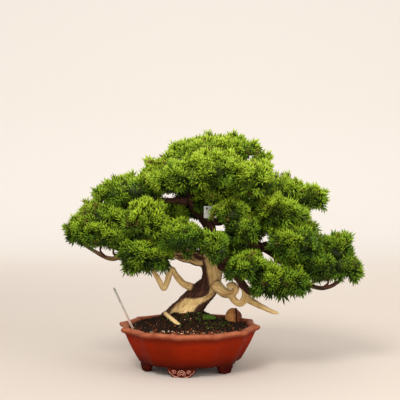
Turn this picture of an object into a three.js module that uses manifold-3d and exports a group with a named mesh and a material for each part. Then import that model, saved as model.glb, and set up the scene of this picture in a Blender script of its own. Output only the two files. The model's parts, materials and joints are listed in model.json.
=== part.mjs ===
// A juniper bonsai with bleached deadwood, planted in a six-sided clay pot on cloud feet.
// Millimetres, +Z up. The front of the tree faces -Y. Everything is modelled about the middle
// of the pot and moved at the end, so that the origin is under the middle of the whole outline.

import * as THREE from "three";
import { mergeVertices } from "three/addons/utils/BufferGeometryUtils.js";
import Module from "manifold-3d";

const wasm = await Module();
wasm.setup();

// ---------------------------------------------------------------- driving dimensions

const clearance = 0.35; // between pieces that touch

const pot = {
  cornerRadius: 152, // middle of the pot to a corner of the lip
  height: 92,
  footHeight: 18,
  baseRadius: 113, // where the side meets the underside, at a corner
  bulge: 0.95, // how full the side is: near 0 it is straight, and at 1.5 it is upright under the lip
  wall: 9,
  floor: 9,
  lipWidth: 15,
  lipDepth: 11,
  lipOverhang: 8.5,
  sideRatio: 0.945, // radius at the small corner in the middle of a side, as a share of a corner's
  hollow: 0.065, // how far each half side is drawn in, as a share of the radius
  hollowSkew: 0.65, // under 1, the deepest place is nearer the corner than the middle of the side
  turn: -8, // degrees that the corners are turned from the axes
  segments: 48,
  drainRadius: 12,
  drainSpacing: 84,
};

// The front and back feet are wider than the other four.
const foot = { width: 58, sideWidth: 38, thickness: 13, inset: 13 };

const soil = { drop: 6, moundHeight: 35, moundSpread: 40, moundX: -4, moundY: 40 };

const screen = { side: 42, thickness: 1.2, bar: 2.4, cells: 3 };

const label = {
  length: 118,
  width: 11,
  thickness: 1.4,
  point: 14, // length of the pointed foot
  lean: 25, // degrees from upright, towards -X
  turn: 79, // degrees that the face is turned away from the front
  fromWall: 22.5, // from the inside of the pot's left corner, level with the foot, to the foot
  y: -34,
  sunk: 22, // how deep the foot is pushed into the soil
};

const tag = {
  width: 34,
  height: 25,
  thickness: 0.8,
  hole: 2,
  holeIn: 6, // from the left edge to the middle of the hole
  holeDown: 5,
  x: 48,
  y: -34,
  z: 328,
};

// The wire that ties the tag on, from the middle of the leader out through the tag's hole.
const wire = { radius: 0.9, slack: 7 };

// The height of the soil's edge that the points of the tree and the tag are set out for.
const plantedAt = 86;

const stone = { width: 37, depth: 30, height: 40, x: 95, y: 48, sunk: 10 };

const moss = { x: 40, y: 12, width: 34, depth: 26, height: 13 };

// ---------------------------------------------------------------- materials

const finish = (color, roughness) => new THREE.MeshStandardMaterial({ color, roughness, metalness: 0 });
const clay = finish(0x8a3218, 0.45);
const earth = finish(0x2a1d14, 0.95);
const bark = finish(0x33231b, 0.85);
const deadwood = finish(0xb89d6c, 0.7);
const leaf = finish(0x4c7d1d, 0.7);
const turf = finish(0x3f5a1c, 0.95);
const rock = finish(0x7c4d2c, 0.7);
const plastic = finish(0xb9b3a8, 0.5);
const card = finish(0xd8d8c8, 0.8);
const netting = finish(0x1c1c1e, 0.6);
const brownMetal = new THREE.MeshStandardMaterial({ color: 0x6b4a36, roughness: 0.45, metalness: 0.9 });

// ---------------------------------------------------------------- solids

function toSolid(geometry) {
  const bare = geometry.clone();
  bare.deleteAttribute("normal");
  bare.deleteAttribute("uv");
  const welded = mergeVertices(bare, 1e-3);
  return new wasm.Manifold(
    new wasm.Mesh({
      numProp: 3,
      vertProperties: new Float32Array(welded.attributes.position.array),
      triVerts: new Uint32Array(welded.index.array),
    }),
  );
}

function toGeometry(solid) {
  const mesh = solid.getMesh();
  const places = new Float32Array(mesh.numVert * 3);
  for (let i = 0; i < mesh.numVert; i++) {
    places.set(mesh.vertProperties.subarray(i * mesh.numProp, i * mesh.numProp + 3), i * 3);
  }
  return new THREE.BufferGeometry()
    .setAttribute("position", new THREE.BufferAttribute(places, 3))
    .setIndex(new THREE.BufferAttribute(mesh.triVerts, 1));
}

// A cut can leave chips beside the piece: only the largest body is the piece.
function largest(solid) {
  return solid.decompose().sort((a, b) => b.volume() - a.volume())[0];
}

function cutBy(solid, tools) {
  return largest(tools.reduce((left, tool) => left.subtract(tool), solid));
}

function moveVertices(geometry, move) {
  const places = geometry.attributes.position;
  const point = new THREE.Vector3();
  for (let i = 0; i < places.count; i++) {
    point.fromBufferAttribute(places, i);
    move(point);
    places.setXYZ(i, point.x, point.y, point.z);
  }
  return geometry;
}

// ---------------------------------------------------------------- pot

const radians = THREE.MathUtils.degToRad;

// The pot's outline has a corner every sixth of a turn and a smaller one in the middle of each
// side. Between them the side is drawn in.
const sixth = Math.PI / 3;

function outline(angle) {
  const fromCorner = THREE.MathUtils.euclideanModulo(angle - radians(pot.turn) + sixth / 2, sixth);
  const along = Math.abs(fromCorner - sixth / 2) / (sixth / 2);
  const drawnIn = pot.hollow * Math.sin(Math.PI * along ** pot.hollowSkew);
  return THREE.MathUtils.lerp(1, pot.sideRatio, along) - drawnIn;
}

function lobed(profile) {
  const points = profile.map(([radius, z]) => new THREE.Vector2(radius, z));
  // A lathe turns about Y, so it is stood up, which leaves +Z up.
  const turned = new THREE.LatheGeometry(points, pot.segments, radians(pot.turn)).rotateX(Math.PI / 2);
  return moveVertices(turned, (p) => {
    const reach = outline(Math.atan2(p.y, p.x));
    p.x *= reach;
    p.y *= reach;
  });
}

const rimBottom = pot.height - pot.lipDepth;
const sideTop = pot.cornerRadius - pot.lipOverhang;
const swell = (share) => Math.sin(share * pot.bulge) / Math.sin(pot.bulge);
const sideAt = (share, inset = 0) => [
  THREE.MathUtils.lerp(pot.baseRadius, sideTop, swell(share)) - inset,
  THREE.MathUtils.lerp(pot.footHeight + 4, rimBottom, share),
];
const shareAt = (z) => THREE.MathUtils.inverseLerp(pot.footHeight + 4, rimBottom, z);
const innerRadiusAt = (z) => sideAt(shareAt(z), pot.wall)[0];
const innerSide = (extra) => [0.8, 0.5, 0.2].map((share) => sideAt(share, pot.wall + extra));
const innerFloor = pot.footHeight + pot.floor;
const lipInner = pot.cornerRadius - pot.lipWidth;

// The feet stand under the middle of each side, a little in from its edge.
const footRadius = pot.baseRadius * pot.sideRatio - foot.inset;

// A foot is a low cloud: a flat bottom, then two lobes on each side up to its widest.
function footSolid(angle, width) {
  const half = width / 2;
  const top = pot.footHeight + 3;
  const shape = new THREE.Shape();
  shape.moveTo(-0.4 * half, 0);
  shape.lineTo(0.4 * half, 0);
  shape.bezierCurveTo(0.6 * half, 0.2, 0.74 * half, 0.2 * top, 0.72 * half, 0.36 * top);
  shape.bezierCurveTo(0.9 * half, 0.36 * top, half, 0.6 * top, half, top);
  shape.lineTo(-half, top);
  shape.bezierCurveTo(-half, 0.6 * top, -0.9 * half, 0.36 * top, -0.72 * half, 0.36 * top);
  shape.bezierCurveTo(-0.74 * half, 0.2 * top, -0.6 * half, 0.2, -0.4 * half, 0);
  const options = { depth: foot.thickness, curveSegments: 4, bevelEnabled: false };
  const block = new THREE.ExtrudeGeometry(shape, options);
  // The outline stands upright across the radius, and the extrusion runs out along it.
  block.translate(0, 0, -foot.thickness / 2).rotateX(Math.PI / 2).translate(0, -footRadius, 0);
  return toSolid(block.rotateZ(angle + Math.PI / 2));
}

const feet = [0, 1, 2, 3, 4, 5].map((k) => ({
  angle: radians(pot.turn) + (k + 0.5) * sixth,
  width: k % 3 === 1 ? foot.width : foot.sideWidth,
}));

function drainHole(x) {
  const hole = new THREE.CylinderGeometry(pot.drainRadius, pot.drainRadius, 4 * pot.floor, 20);
  return toSolid(hole.rotateX(Math.PI / 2).translate(x, 0, pot.footHeight));
}

const drainPlaces = [-pot.drainSpacing / 2, pot.drainSpacing / 2];

function potSolid() {
  const bowl = toSolid(
    lobed([
      [0, pot.footHeight],
      [pot.baseRadius - 9, pot.footHeight],
      ...[0, 0.2, 0.45, 0.75, 1].map((share) => sideAt(share)),
      [pot.cornerRadius - 1, rimBottom + 2],
      [pot.cornerRadius, pot.height - 4],
      [pot.cornerRadius - 4, pot.height],
      [lipInner + 4, pot.height],
      [lipInner, pot.height - 3],
      ...innerSide(0),
      [pot.baseRadius - 16, innerFloor],
      [0, innerFloor],
    ]),
  );
  const whole = feet.reduce((made, { angle, width }) => made.add(footSolid(angle, width)), bowl);
  return cutBy(whole, drainPlaces.map(drainHole));
}

// ---------------------------------------------------------------- soil, screens, stone, label, tag

const soilEdge = pot.height - soil.drop;
const lift = soilEdge - plantedAt; // how far the tree stands above the points it is set out with

function mound(x, y) {
  const away = ((x - soil.moundX) ** 2 + (y - soil.moundY) ** 2) / (2 * soil.moundSpread ** 2);
  return soilEdge + soil.moundHeight * Math.exp(-away);
}

function soilSolid() {
  const rings = [104, 76, 52, 30, 0];
  const body = lobed([
    [0, innerFloor + clearance],
    [pot.baseRadius - 16 - clearance, innerFloor + clearance],
    ...innerSide(clearance).reverse().slice(1),
    [lipInner - 2.5, soilEdge],
    ...rings.map((radius) => [radius, soilEdge]),
  ]);
  return toSolid(
    moveVertices(body, (p) => {
      if (p.z > soilEdge - 0.01) p.z = mound(p.x, p.y);
    }),
  );
}

function screenBlank(x, grow) {
  const side = screen.side + 2 * grow;
  const sheet = new THREE.BoxGeometry(side, side, screen.thickness + 2 * grow);
  return toSolid(sheet.translate(x, 0, innerFloor + clearance + screen.thickness / 2));
}

// A square of netting that keeps the soil off a drain hole.
function screenSolid(x) {
  const pitch = screen.side / screen.cells;
  const cells = Array.from({ length: screen.cells ** 2 }, (_, i) => {
    const across = ((i % screen.cells) + 0.5) * pitch - screen.side / 2;
    const along = (Math.floor(i / screen.cells) + 0.5) * pitch - screen.side / 2;
    const cell = new THREE.BoxGeometry(pitch - screen.bar, pitch - screen.bar, 8 * screen.thickness);
    return toSolid(cell.translate(x + across, along, innerFloor));
  });
  return cutBy(screenBlank(x, 0), cells);
}

// An upright pebble, wider at the bottom, with a dark edge standing up on its right.
function stoneSolid(grow = 0) {
  const ball = new THREE.IcosahedronGeometry(1, 2);
  moveVertices(ball, (p) => {
    const ridge = 1 + 0.1 * Math.exp(-(((p.x - 0.35) / 0.16) ** 2)) * Math.max(0, p.z);
    p.set(
      p.x * (stone.width / 2 + grow) * (1 - 0.12 * p.z),
      p.y * (stone.depth / 2 + grow),
      p.z * (stone.height / 2 + grow) * ridge,
    );
  });
  const base = mound(stone.x, stone.y) - stone.sunk;
  return toSolid(ball.translate(stone.x, stone.y, base + stone.height / 2));
}

// A low cushion at the foot of the trunk.
function mossSolid(grow = 0) {
  const cushion = new THREE.IcosahedronGeometry(1, 1);
  cushion.scale(moss.width / 2 + grow, moss.depth / 2 + grow, moss.height / 2 + grow);
  return toSolid(cushion.translate(moss.x, moss.y, mound(moss.x, moss.y)));
}

// A flat marker with a pointed foot, pushed into the soil at the left.
function labelSolid(grow = 0) {
  const half = label.width / 2 + grow;
  const shape = new THREE.Shape();
  shape.moveTo(0, -grow);
  shape.lineTo(half, label.point);
  shape.lineTo(half, label.length + grow);
  shape.lineTo(-half, label.length + grow);
  shape.lineTo(-half, label.point);
  shape.closePath();
  const options = { depth: label.thickness + 2 * grow, bevelEnabled: false };
  const strip = new THREE.ExtrudeGeometry(shape, options);
  strip.translate(0, 0, -label.thickness / 2 - grow).rotateX(Math.PI / 2).rotateZ(radians(label.turn));
  strip.rotateY(-radians(label.lean));
  const footZ = soilEdge - label.sunk;
  return toSolid(strip.translate(label.fromWall - innerRadiusAt(footZ), label.y, footZ));
}

function tagSolid() {
  const half = tag.width / 2;
  const shape = new THREE.Shape();
  shape.moveTo(-half, 0).lineTo(half, 0).lineTo(half, tag.height).lineTo(-half, tag.height);
  const hole = new THREE.Path();
  hole.absarc(-half + tag.holeIn, tag.height - tag.holeDown, tag.hole, 0, 2 * Math.PI, true);
  shape.holes.push(hole);
  const options = { depth: tag.thickness, curveSegments: 8, bevelEnabled: false };
  const sheet = new THREE.ExtrudeGeometry(shape, options).rotateX(Math.PI / 2);
  return toSolid(sheet.translate(tag.x, tag.y, tag.z - tag.height / 2 + lift));
}

// ---------------------------------------------------------------- wood

// A limb runs through [x, y, z, radius] points. It is extruded as a thread, then each ring is
// swelled to its radius, so that it tapers and keeps one closed skin.
const thread = 0.4;

function limbSolid(limb, grow = 0) {
  const { path, sides = 6, fluting = 0, density = 1 } = limb;
  const points = path.map(([x, y, z]) => new THREE.Vector3(x, y, z + lift));
  const last = points.length - 1;
  if (grow) {
    points[0] = points[0].clone().lerp(points[1], -grow / points[0].distanceTo(points[1]));
    const end = points[last].clone();
    points[last] = end.lerp(points[last - 1], -grow / end.distanceTo(points[last - 1]));
  }
  const curve = new THREE.CatmullRomCurve3(points, false, "centripetal");
  const steps = density * last;
  const section = Array.from({ length: sides }, (_, i) => {
    const angle = (i * 2 * Math.PI) / sides;
    const reach = thread * (1 + fluting * Math.cos(3 * angle));
    return new THREE.Vector2(reach * Math.cos(angle), reach * Math.sin(angle));
  });
  const options = { steps, extrudePath: curve, bevelEnabled: false };
  const tube = new THREE.ExtrudeGeometry(new THREE.Shape(section), options);
  const rings = curve.getSpacedPoints(steps).map((centre, k) => {
    const at = curve.getUtoTmapping(k / steps) * last;
    const from = Math.min(Math.floor(at), last - 1);
    return { centre, radius: THREE.MathUtils.lerp(path[from][3], path[from + 1][3], at - from) + grow };
  });
  const offset = new THREE.Vector3();
  return toSolid(
    moveVertices(tube, (p) => {
      const near = (ring) => ring.centre.distanceToSquared(p);
      const ring = rings.reduce((best, other) => (near(other) < near(best) ? other : best));
      offset.subVectors(p, ring.centre).multiplyScalar(ring.radius / thread);
      p.addVectors(ring.centre, offset);
    }),
  );
}

// Each limb is cut back to the ones above it in this list.
const limbs = {
  trunk: {
    sides: 12,
    fluting: 0.06,
    density: 2,
    path: [
      [-22, 40, 84, 34], [-3, 39, 116, 28], [17, 37, 139, 25], [36, 34, 160, 22], [47, 31, 180, 20],
      [49, 29, 203, 21], [42, 27, 226, 20], [38, 26, 248, 16], [43, 26, 270, 13], [44, 25, 290, 12],
      [34, 25, 310, 11],
    ],
  },
  leader: {
    density: 2,
    path: [
      [34, 25, 310, 11], [14, 22, 334, 10], [5, 18, 357, 9], [13, 12, 386, 8], [32, 10, 414, 6.5],
      [50, 10, 436, 5],
    ],
  },
  branch_left: {
    sides: 8,
    path: [
      [34, 26, 224, 17], [10, 24, 230, 16], [-13, 22, 234, 14], [-35, 18, 242, 11], [-60, 12, 254, 9],
      [-86, 8, 258, 7.5], [-114, 0, 245, 6], [-142, -5, 233, 5], [-168, -8, 230, 4.4],
      [-198, -8, 245, 3.6], [-218, -6, 257, 3],
    ],
  },
  branch_left_upper: {
    path: [[-78, 9, 259, 7], [-90, 6, 282, 6], [-108, 4, 310, 5], [-128, 6, 334, 3.6]],
  },
  branch_left_back: {
    path: [[-26, 20, 240, 8], [-54, 46, 264, 6], [-90, 68, 290, 4.8], [-120, 74, 308, 3.6]],
  },
  branch_left_front: {
    path: [[-48, 12, 250, 7], [-62, -12, 248, 5.5], [-74, -34, 240, 4.2]],
  },
  branch_left_high: {
    path: [[8, 20, 352, 8], [-28, 16, 350, 6.5], [-70, 18, 352, 5], [-104, 18, 358, 3.6]],
  },
  branch_right: {
    sides: 8,
    path: [
      [46, 26, 274, 10], [76, 22, 276, 9], [116, 15, 268, 8], [154, 5, 252, 7], [192, -8, 226, 6.5],
      [232, -14, 188, 5.5], [268, -12, 169, 4.6], [296, -8, 171, 4], [322, -4, 186, 3.2],
    ],
  },
  branch_right_low: {
    density: 2,
    path: [
      [56, 24, 214, 10], [88, 8, 205, 9], [104, -5, 187, 8.5], [118, -18, 169, 7], [132, -34, 160, 5.5],
      [150, -52, 166, 4.2], [172, -56, 180, 3.2],
    ],
  },
  branch_right_upper: {
    path: [
      [38, 25, 304, 9], [70, 22, 306, 7], [107, 18, 320, 6], [144, 12, 334, 5], [180, 8, 346, 4],
      [206, 6, 354, 3.2],
    ],
  },
  branch_right_dome: {
    path: [[150, 6, 254, 6], [176, -20, 252, 4.8], [206, -38, 254, 3.6]],
  },
  branch_right_far: {
    path: [[190, -7, 227, 5.5], [230, -3, 234, 4.6], [268, -2, 240, 3.8], [298, 0, 246, 3]],
  },
  branch_right_back: {
    path: [[72, 24, 275, 7], [108, 50, 286, 6], [148, 74, 298, 4.6], [166, 80, 304, 3.4]],
  },
  branch_front_left: {
    path: [[38, 20, 256, 9], [20, -14, 260, 6], [4, -40, 266, 4.6], [-6, -54, 270, 3.4]],
  },
  branch_front: {
    path: [[46, 20, 240, 9], [58, -18, 238, 6.5], [58, -50, 240, 4.8], [56, -72, 246, 3.4]],
  },
  branch_front_right: {
    path: [[56, -10, 238, 6], [78, -36, 230, 5], [104, -60, 218, 3.6]],
  },
  branch_back_low: {
    path: [[42, 34, 236, 8], [66, 54, 232, 6], [94, 66, 230, 4.4]],
  },
  branch_back: {
    path: [[38, 28, 300, 10], [32, 58, 312, 7], [26, 86, 322, 5.5], [22, 102, 330, 4]],
  },
  jin_left: {
    dead: true,
    density: 2,
    path: [
      [18, 26, 160, 10], [0, 18, 168, 9], [-13, 14, 175, 7], [-23, 12, 186, 6.5], [-30, 10, 197, 6],
      [-36, 8, 206, 6], [-42, 6, 194, 6], [-47, 4, 178, 6], [-53, 2, 166, 6], [-60, 0, 176, 5.5],
      [-68, -3, 192, 5], [-77, -6, 206, 4],
    ],
  },
  jin_curl: {
    dead: true,
    density: 2,
    path: [
      [56, 18, 172, 13], [68, 8, 161, 11], [80, 2, 155, 9.5], [92, -3, 157, 8], [98, -7, 166, 7.5],
      [91, -12, 174, 7], [80, -15, 171, 6],
    ],
  },
  jin_loop: {
    dead: true,
    density: 2,
    path: [
      [84, 0, 158, 7], [91, -4, 147, 7], [98, -8, 139, 7], [107, -10, 136, 7.5], [115, -10, 142, 8.5],
      [120, -8, 153, 9.5], [118, -4, 166, 9], [109, 2, 176, 7],
    ],
  },
  jin_spike: {
    dead: true,
    path: [
      [118, -8, 148, 8], [134, -14, 139, 7], [154, -20, 129, 5.8], [172, -24, 121, 4.6],
      [186, -26, 117, 3],
    ],
  },
  dead_root: {
    dead: true,
    path: [[-52, 24, 110, 4], [-43, 6, 105, 4.3], [-32, -12, 99, 4.3], [-20, -30, 93.5, 4]],
  },
};

function wireSolid(grow = 0) {
  const x = tag.x - tag.width / 2 + tag.holeIn;
  const z = tag.z + tag.height / 2 - tag.holeDown;
  const [endX, endY, endZ] = limbs.leader.path[1];
  const radius = wire.radius;
  const path = [
    [x, tag.y - 6, z - 1, radius],
    [x, tag.y + 4, z, radius],
    [(x + endX) / 2, (tag.y + endY) / 2, (z + endZ) / 2 + wire.slack, radius],
    [endX, endY, endZ, radius],
  ];
  return limbSolid({ path, density: 2 }, grow);
}

// ---------------------------------------------------------------- foliage

// A pad is made of clumps, [x, y, z, half width, half height]. A clump's underside is flatter
// than its crown, and it reaches a little less from front to back than from side to side.
const clumpDepth = 0.92;
const underside = 0.6;

const pads = {
  crown_top: [[92, 8, 446, 59, 44], [22, 16, 438, 60, 43]],
  crown_left: [[-48, 4, 400, 48, 44], [-22, -48, 392, 52, 44]],
  crown_right: [[124, 8, 414, 48, 44], [118, -46, 388, 54, 42]],
  crown_front: [[58, -60, 404, 60, 48]],
  crown_under: [[-8, -70, 354, 40, 38], [70, -4, 352, 62, 40]],
  crown_back: [[44, 78, 410, 62, 47], [-34, 60, 392, 48, 42]],
  crown_back_right: [[118, 62, 388, 50, 42]],
  left_high: [[-112, 20, 366, 48, 38], [-156, 4, 358, 46, 40]],
  left_tip: [[-220, 0, 284, 40, 36], [-182, -10, 308, 46, 42]],
  left_low: [[-172, -36, 276, 42, 32], [-134, -26, 270, 34, 28]],
  left_inner: [[-92, -44, 300, 46, 42]],
  left_hanging: [[-104, -50, 238, 38, 38], [-66, -40, 230, 33, 34]],
  left_middle: [[-54, 32, 312, 50, 40]],
  left_back: [[-138, 72, 322, 48, 38], [-92, 86, 302, 44, 36]],
  heart_left: [[-12, -62, 272, 46, 38]],
  heart: [[57, -84, 252, 30, 38]],
  heart_middle: [[84, -36, 324, 44, 38], [116, -28, 290, 47, 40]],
  heart_right: [[114, -68, 214, 40, 36]],
  right_high: [[204, 10, 362, 46, 36], [248, 0, 350, 37, 29]],
  right_upper: [[190, -24, 322, 54, 38]],
  right_dome: [[216, -44, 260, 54, 46]],
  right_low: [[206, -52, 186, 42, 38], [158, -62, 184, 39, 38]],
  right_outer: [[262, -18, 214, 47, 40]],
  right_tip: [[308, 0, 247, 40, 36], [327, -4, 208, 35, 38]],
  right_back: [[172, 82, 310, 56, 44], [232, 60, 270, 46, 40]],
  back: [[20, 106, 334, 60, 44]],
  back_low_left: [[-44, 88, 258, 48, 36]],
  back_low_right: [[112, 76, 232, 48, 40]],
};

function padSolid(clumps, grow = 0) {
  const balls = clumps.map(([x, y, z, halfWidth, halfHeight]) => {
    const ball = new THREE.IcosahedronGeometry(1, halfWidth > 45 ? 2 : 1);
    const wide = halfWidth + grow;
    const tall = halfHeight + grow;
    moveVertices(ball, (p) => {
      p.set(p.x * wide, p.y * wide * clumpDepth, p.z * tall * (p.z < 0 ? underside : 1));
    });
    return toSolid(ball.translate(x, y, z + lift));
  });
  return balls.reduce((made, ball) => made.add(ball));
}

// ---------------------------------------------------------------- assembly

const made = {};
const grown = {}; // each piece with the clearance added, which later pieces are cut by

for (const [name, limb] of Object.entries(limbs)) {
  made[name] = cutBy(limbSolid(limb), Object.values(grown));
  grown[name] = limbSolid(limb, clearance);
}

const planted = [
  ...Object.values(grown),
  ...drainPlaces.map((x) => screenBlank(x, clearance)),
  stoneSolid(clearance),
  mossSolid(clearance),
  labelSolid(clearance),
];
made.soil = cutBy(soilSolid(), planted);
made.pot = potSolid();
made.drain_screen_left = screenSolid(drainPlaces[0]);
made.drain_screen_right = screenSolid(drainPlaces[1]);
made.stone = stoneSolid();
made.moss = cutBy(mossSolid(), Object.values(grown));
made.plant_label = labelSolid();
made.name_tag = tagSolid();
made.tag_wire = cutBy(wireSolid(), Object.values(grown));

const wood = [...Object.values(grown), tagSolid(), wireSolid(clearance)];
const padsBefore = [];
for (const [name, clumps] of Object.entries(pads)) {
  made[name] = cutBy(padSolid(clumps), [...padsBefore, ...wood]);
  padsBefore.push(padSolid(clumps, clearance));
}

const worn = {
  pot: clay,
  soil: earth,
  drain_screen_left: netting,
  drain_screen_right: netting,
  stone: rock,
  moss: turf,
  plant_label: plastic,
  name_tag: card,
  tag_wire: brownMetal,
};

const plant = new THREE.Group();
for (const [name, solid] of Object.entries(made)) {
  const wooden = limbs[name] && (limbs[name].dead ? deadwood : bark);
  const mesh = new THREE.Mesh(toGeometry(solid), worn[name] ?? wooden ?? leaf);
  mesh.name = name;
  plant.add(mesh);
}

const extent = new THREE.Box3().setFromObject(plant);
const middle = extent.getCenter(new THREE.Vector3());
plant.position.set(-middle.x, -middle.y, 0);

const bonsai = new THREE.Group();
bonsai.add(plant);

export default bonsai;
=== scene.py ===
import json
import math
import random

import bmesh
import bpy
import numpy as np
from mathutils import Matrix, Vector, noise
from mathutils.bvhtree import BVHTree


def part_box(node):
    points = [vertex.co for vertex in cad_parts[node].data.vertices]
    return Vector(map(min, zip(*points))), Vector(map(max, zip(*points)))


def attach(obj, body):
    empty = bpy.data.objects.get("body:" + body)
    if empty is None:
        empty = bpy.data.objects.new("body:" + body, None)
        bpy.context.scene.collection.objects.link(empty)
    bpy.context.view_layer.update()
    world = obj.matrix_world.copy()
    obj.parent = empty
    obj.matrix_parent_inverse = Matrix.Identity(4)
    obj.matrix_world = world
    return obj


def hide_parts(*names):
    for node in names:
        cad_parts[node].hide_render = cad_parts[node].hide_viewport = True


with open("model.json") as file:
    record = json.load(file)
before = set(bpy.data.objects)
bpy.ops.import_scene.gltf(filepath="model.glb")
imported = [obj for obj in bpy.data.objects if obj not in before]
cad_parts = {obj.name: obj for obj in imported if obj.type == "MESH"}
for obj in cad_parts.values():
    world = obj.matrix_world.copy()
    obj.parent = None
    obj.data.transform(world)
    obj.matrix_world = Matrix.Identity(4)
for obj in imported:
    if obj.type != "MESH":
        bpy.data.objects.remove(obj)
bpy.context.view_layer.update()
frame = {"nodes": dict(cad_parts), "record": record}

mm = 0.001  # the pieces are drawn in millimetres, and the frame is in metres

# The pot is symmetric, so the middle of its box is the middle it was drawn about.
potLow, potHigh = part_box("pot")
potMiddle = Vector(((potLow.x + potHigh.x) / 2, (potLow.y + potHigh.y) / 2, 0))


# helpers for materials

def tone(red, green, blue):
    # screen colour, 0 to 255, to what a shader takes
    def linear(value):
        value /= 255
        return value / 12.92 if value <= 0.04045 else ((value + 0.055) / 1.055) ** 2.4
    return (linear(red), linear(green), linear(blue), 1.0)


def startMaterial(name, roughness, specular=0.4):
    material = bpy.data.materials.new(name)
    material.use_nodes = True
    tree = material.node_tree
    shader = tree.nodes["Principled BSDF"]
    shader.inputs["Roughness"].default_value = roughness
    shader.inputs["Specular IOR Level"].default_value = specular
    return material, tree, shader


def paint(tree, shader, colour):
    tree.links.new(colour, shader.inputs["Base Color"])


def objectPlace(tree):
    return tree.nodes.new("ShaderNodeTexCoord").outputs["Object"]


def stretched(tree, vector, scale):
    mapping = tree.nodes.new("ShaderNodeMapping")
    mapping.inputs["Scale"].default_value = scale
    tree.links.new(vector, mapping.inputs["Vector"])
    return mapping.outputs["Vector"]


def attribute(tree, name, output="Vector"):
    node = tree.nodes.new("ShaderNodeAttribute")
    node.attribute_name = name
    return node.outputs[output]


def noisy(tree, vector, scale, detail=4, rough=0.55, twist=0.0):
    node = tree.nodes.new("ShaderNodeTexNoise")
    node.inputs["Scale"].default_value = scale
    node.inputs["Detail"].default_value = detail
    node.inputs["Roughness"].default_value = rough
    node.inputs["Distortion"].default_value = twist
    tree.links.new(vector, node.inputs["Vector"])
    return node.outputs["Fac"]


def cells(tree, vector, scale, output="Distance"):
    node = tree.nodes.new("ShaderNodeTexVoronoi")
    node.inputs["Scale"].default_value = scale
    tree.links.new(vector, node.inputs["Vector"])
    return node.outputs[output]


def grey(value):
    return (value, value, value, 1)


def ramp(tree, factor, stops):
    # a stop is a place from 0 to 1 with a screen colour, or with one number for a grey
    node = tree.nodes.new("ShaderNodeValToRGB")
    elements = node.color_ramp.elements
    while len(elements) < len(stops):
        elements.new(0.5)
    for element, (place, colour) in zip(elements, stops):
        element.position = place
        element.color = tone(*colour) if isinstance(colour, tuple) else grey(colour)
    tree.links.new(factor, node.inputs["Fac"])
    return node.outputs["Color"]


def blended(tree, factor, first, second, way="MIX"):
    node = tree.nodes.new("ShaderNodeMix")
    node.data_type = "RGBA"
    node.blend_type = way
    for socket, value in ((node.inputs[0], factor), (node.inputs[6], first), (node.inputs[7], second)):
        if isinstance(value, bpy.types.NodeSocket):
            tree.links.new(value, socket)
        else:
            socket.default_value = value
    return node.outputs[2]


def parts(tree, vector):
    node = tree.nodes.new("ShaderNodeSeparateXYZ")
    tree.links.new(vector, node.inputs[0])
    return node.outputs


def spread(tree, value, low, high, start=0.0, end=1.0):
    node = tree.nodes.new("ShaderNodeMapRange")
    for key, number in (("From Min", low), ("From Max", high), ("To Min", start), ("To Max", end)):
        node.inputs[key].default_value = number
    tree.links.new(value, node.inputs["Value"])
    return node.outputs["Result"]


def sums(tree, first, second, way="ADD"):
    node = tree.nodes.new("ShaderNodeMath")
    node.operation = way
    for socket, value in zip(node.inputs, (first, second)):
        if isinstance(value, bpy.types.NodeSocket):
            tree.links.new(value, socket)
        else:
            socket.default_value = value
    return node.outputs[0]


def raised(tree, shader, height, distance, strength=1.0, under=None):
    node = tree.nodes.new("ShaderNodeBump")
    node.inputs["Strength"].default_value = strength
    node.inputs["Distance"].default_value = distance
    tree.links.new(height, node.inputs["Height"])
    if under is not None:
        tree.links.new(under, node.inputs["Normal"])
    tree.links.new(node.outputs["Normal"], shader.inputs["Normal"])
    return node.outputs["Normal"]


def mottledMaterial(name, roughness, specular, pattern, stops, bump=None, relief=None):
    # one noise colours it, and the same or a finer one raises it
    material, tree, shader = startMaterial(name, roughness, specular)
    place = objectPlace(tree)
    spots = noisy(tree, place, *pattern)
    paint(tree, shader, ramp(tree, spots, stops))
    if bump:
        raised(tree, shader, noisy(tree, place, *relief) if relief else spots, *bump)
    return material


# helpers for pieces

def finishPiece(mesh, name, material, replaced):
    piece = bpy.data.objects.new(name, mesh)
    bpy.context.scene.collection.objects.link(piece)
    if material is not None:
        mesh.materials.append(material)
    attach(piece, "root")
    if replaced:
        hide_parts(*replaced)


def meshFrom(bm, name, smooth=True):
    mesh = bpy.data.meshes.new(name)
    bm.to_mesh(mesh)
    bm.free()
    if smooth:
        mesh.shade_smooth()
    return mesh


def applied(piece):
    # bakes the piece's modifiers into its mesh
    bpy.context.view_layer.update()
    graph = bpy.context.evaluated_depsgraph_get()
    finished = bpy.data.meshes.new_from_object(piece.evaluated_get(graph))
    piece.modifiers.clear()
    piece.data = finished


def toFrame(bm):
    # from millimetres about the pot's middle to metres in the frame
    bmesh.ops.scale(bm, verts=bm.verts, vec=(mm, mm, mm))
    bmesh.ops.translate(bm, verts=bm.verts, vec=potMiddle)


def placesInFrame(x, y, z):
    # the same for arrays of places
    return np.stack([x, y, z], 1) * mm + np.array(potMiddle)


def vertsOf(geom):
    return [v for v in geom if isinstance(v, bmesh.types.BMVert)]


def ringEdges(bm, ring):
    return [bm.edges.get((ring[i - 1], ring[i])) for i in range(len(ring))]


def nextRing(bm, ring):
    # pulls a copy of an open ring's edges out, and gives its vertices in the same order
    fresh = set(vertsOf(bmesh.ops.extrude_edge_only(bm, edges=ringEdges(bm, ring))["geom"]))
    following = []
    for vertex in ring:
        other = next(e.other_vert(vertex) for e in vertex.link_edges if e.other_vert(vertex) in fresh)
        following.append(other)
    return following


def closeRing(bm, ring):
    bmesh.ops.contextual_create(bm, geom=ringEdges(bm, ring))


def aheadAt(centres, index):
    # the way a line of points runs at one of them
    return (centres[min(index + 1, len(centres) - 1)] - centres[max(index - 1, 0)]).normalized()


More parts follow.
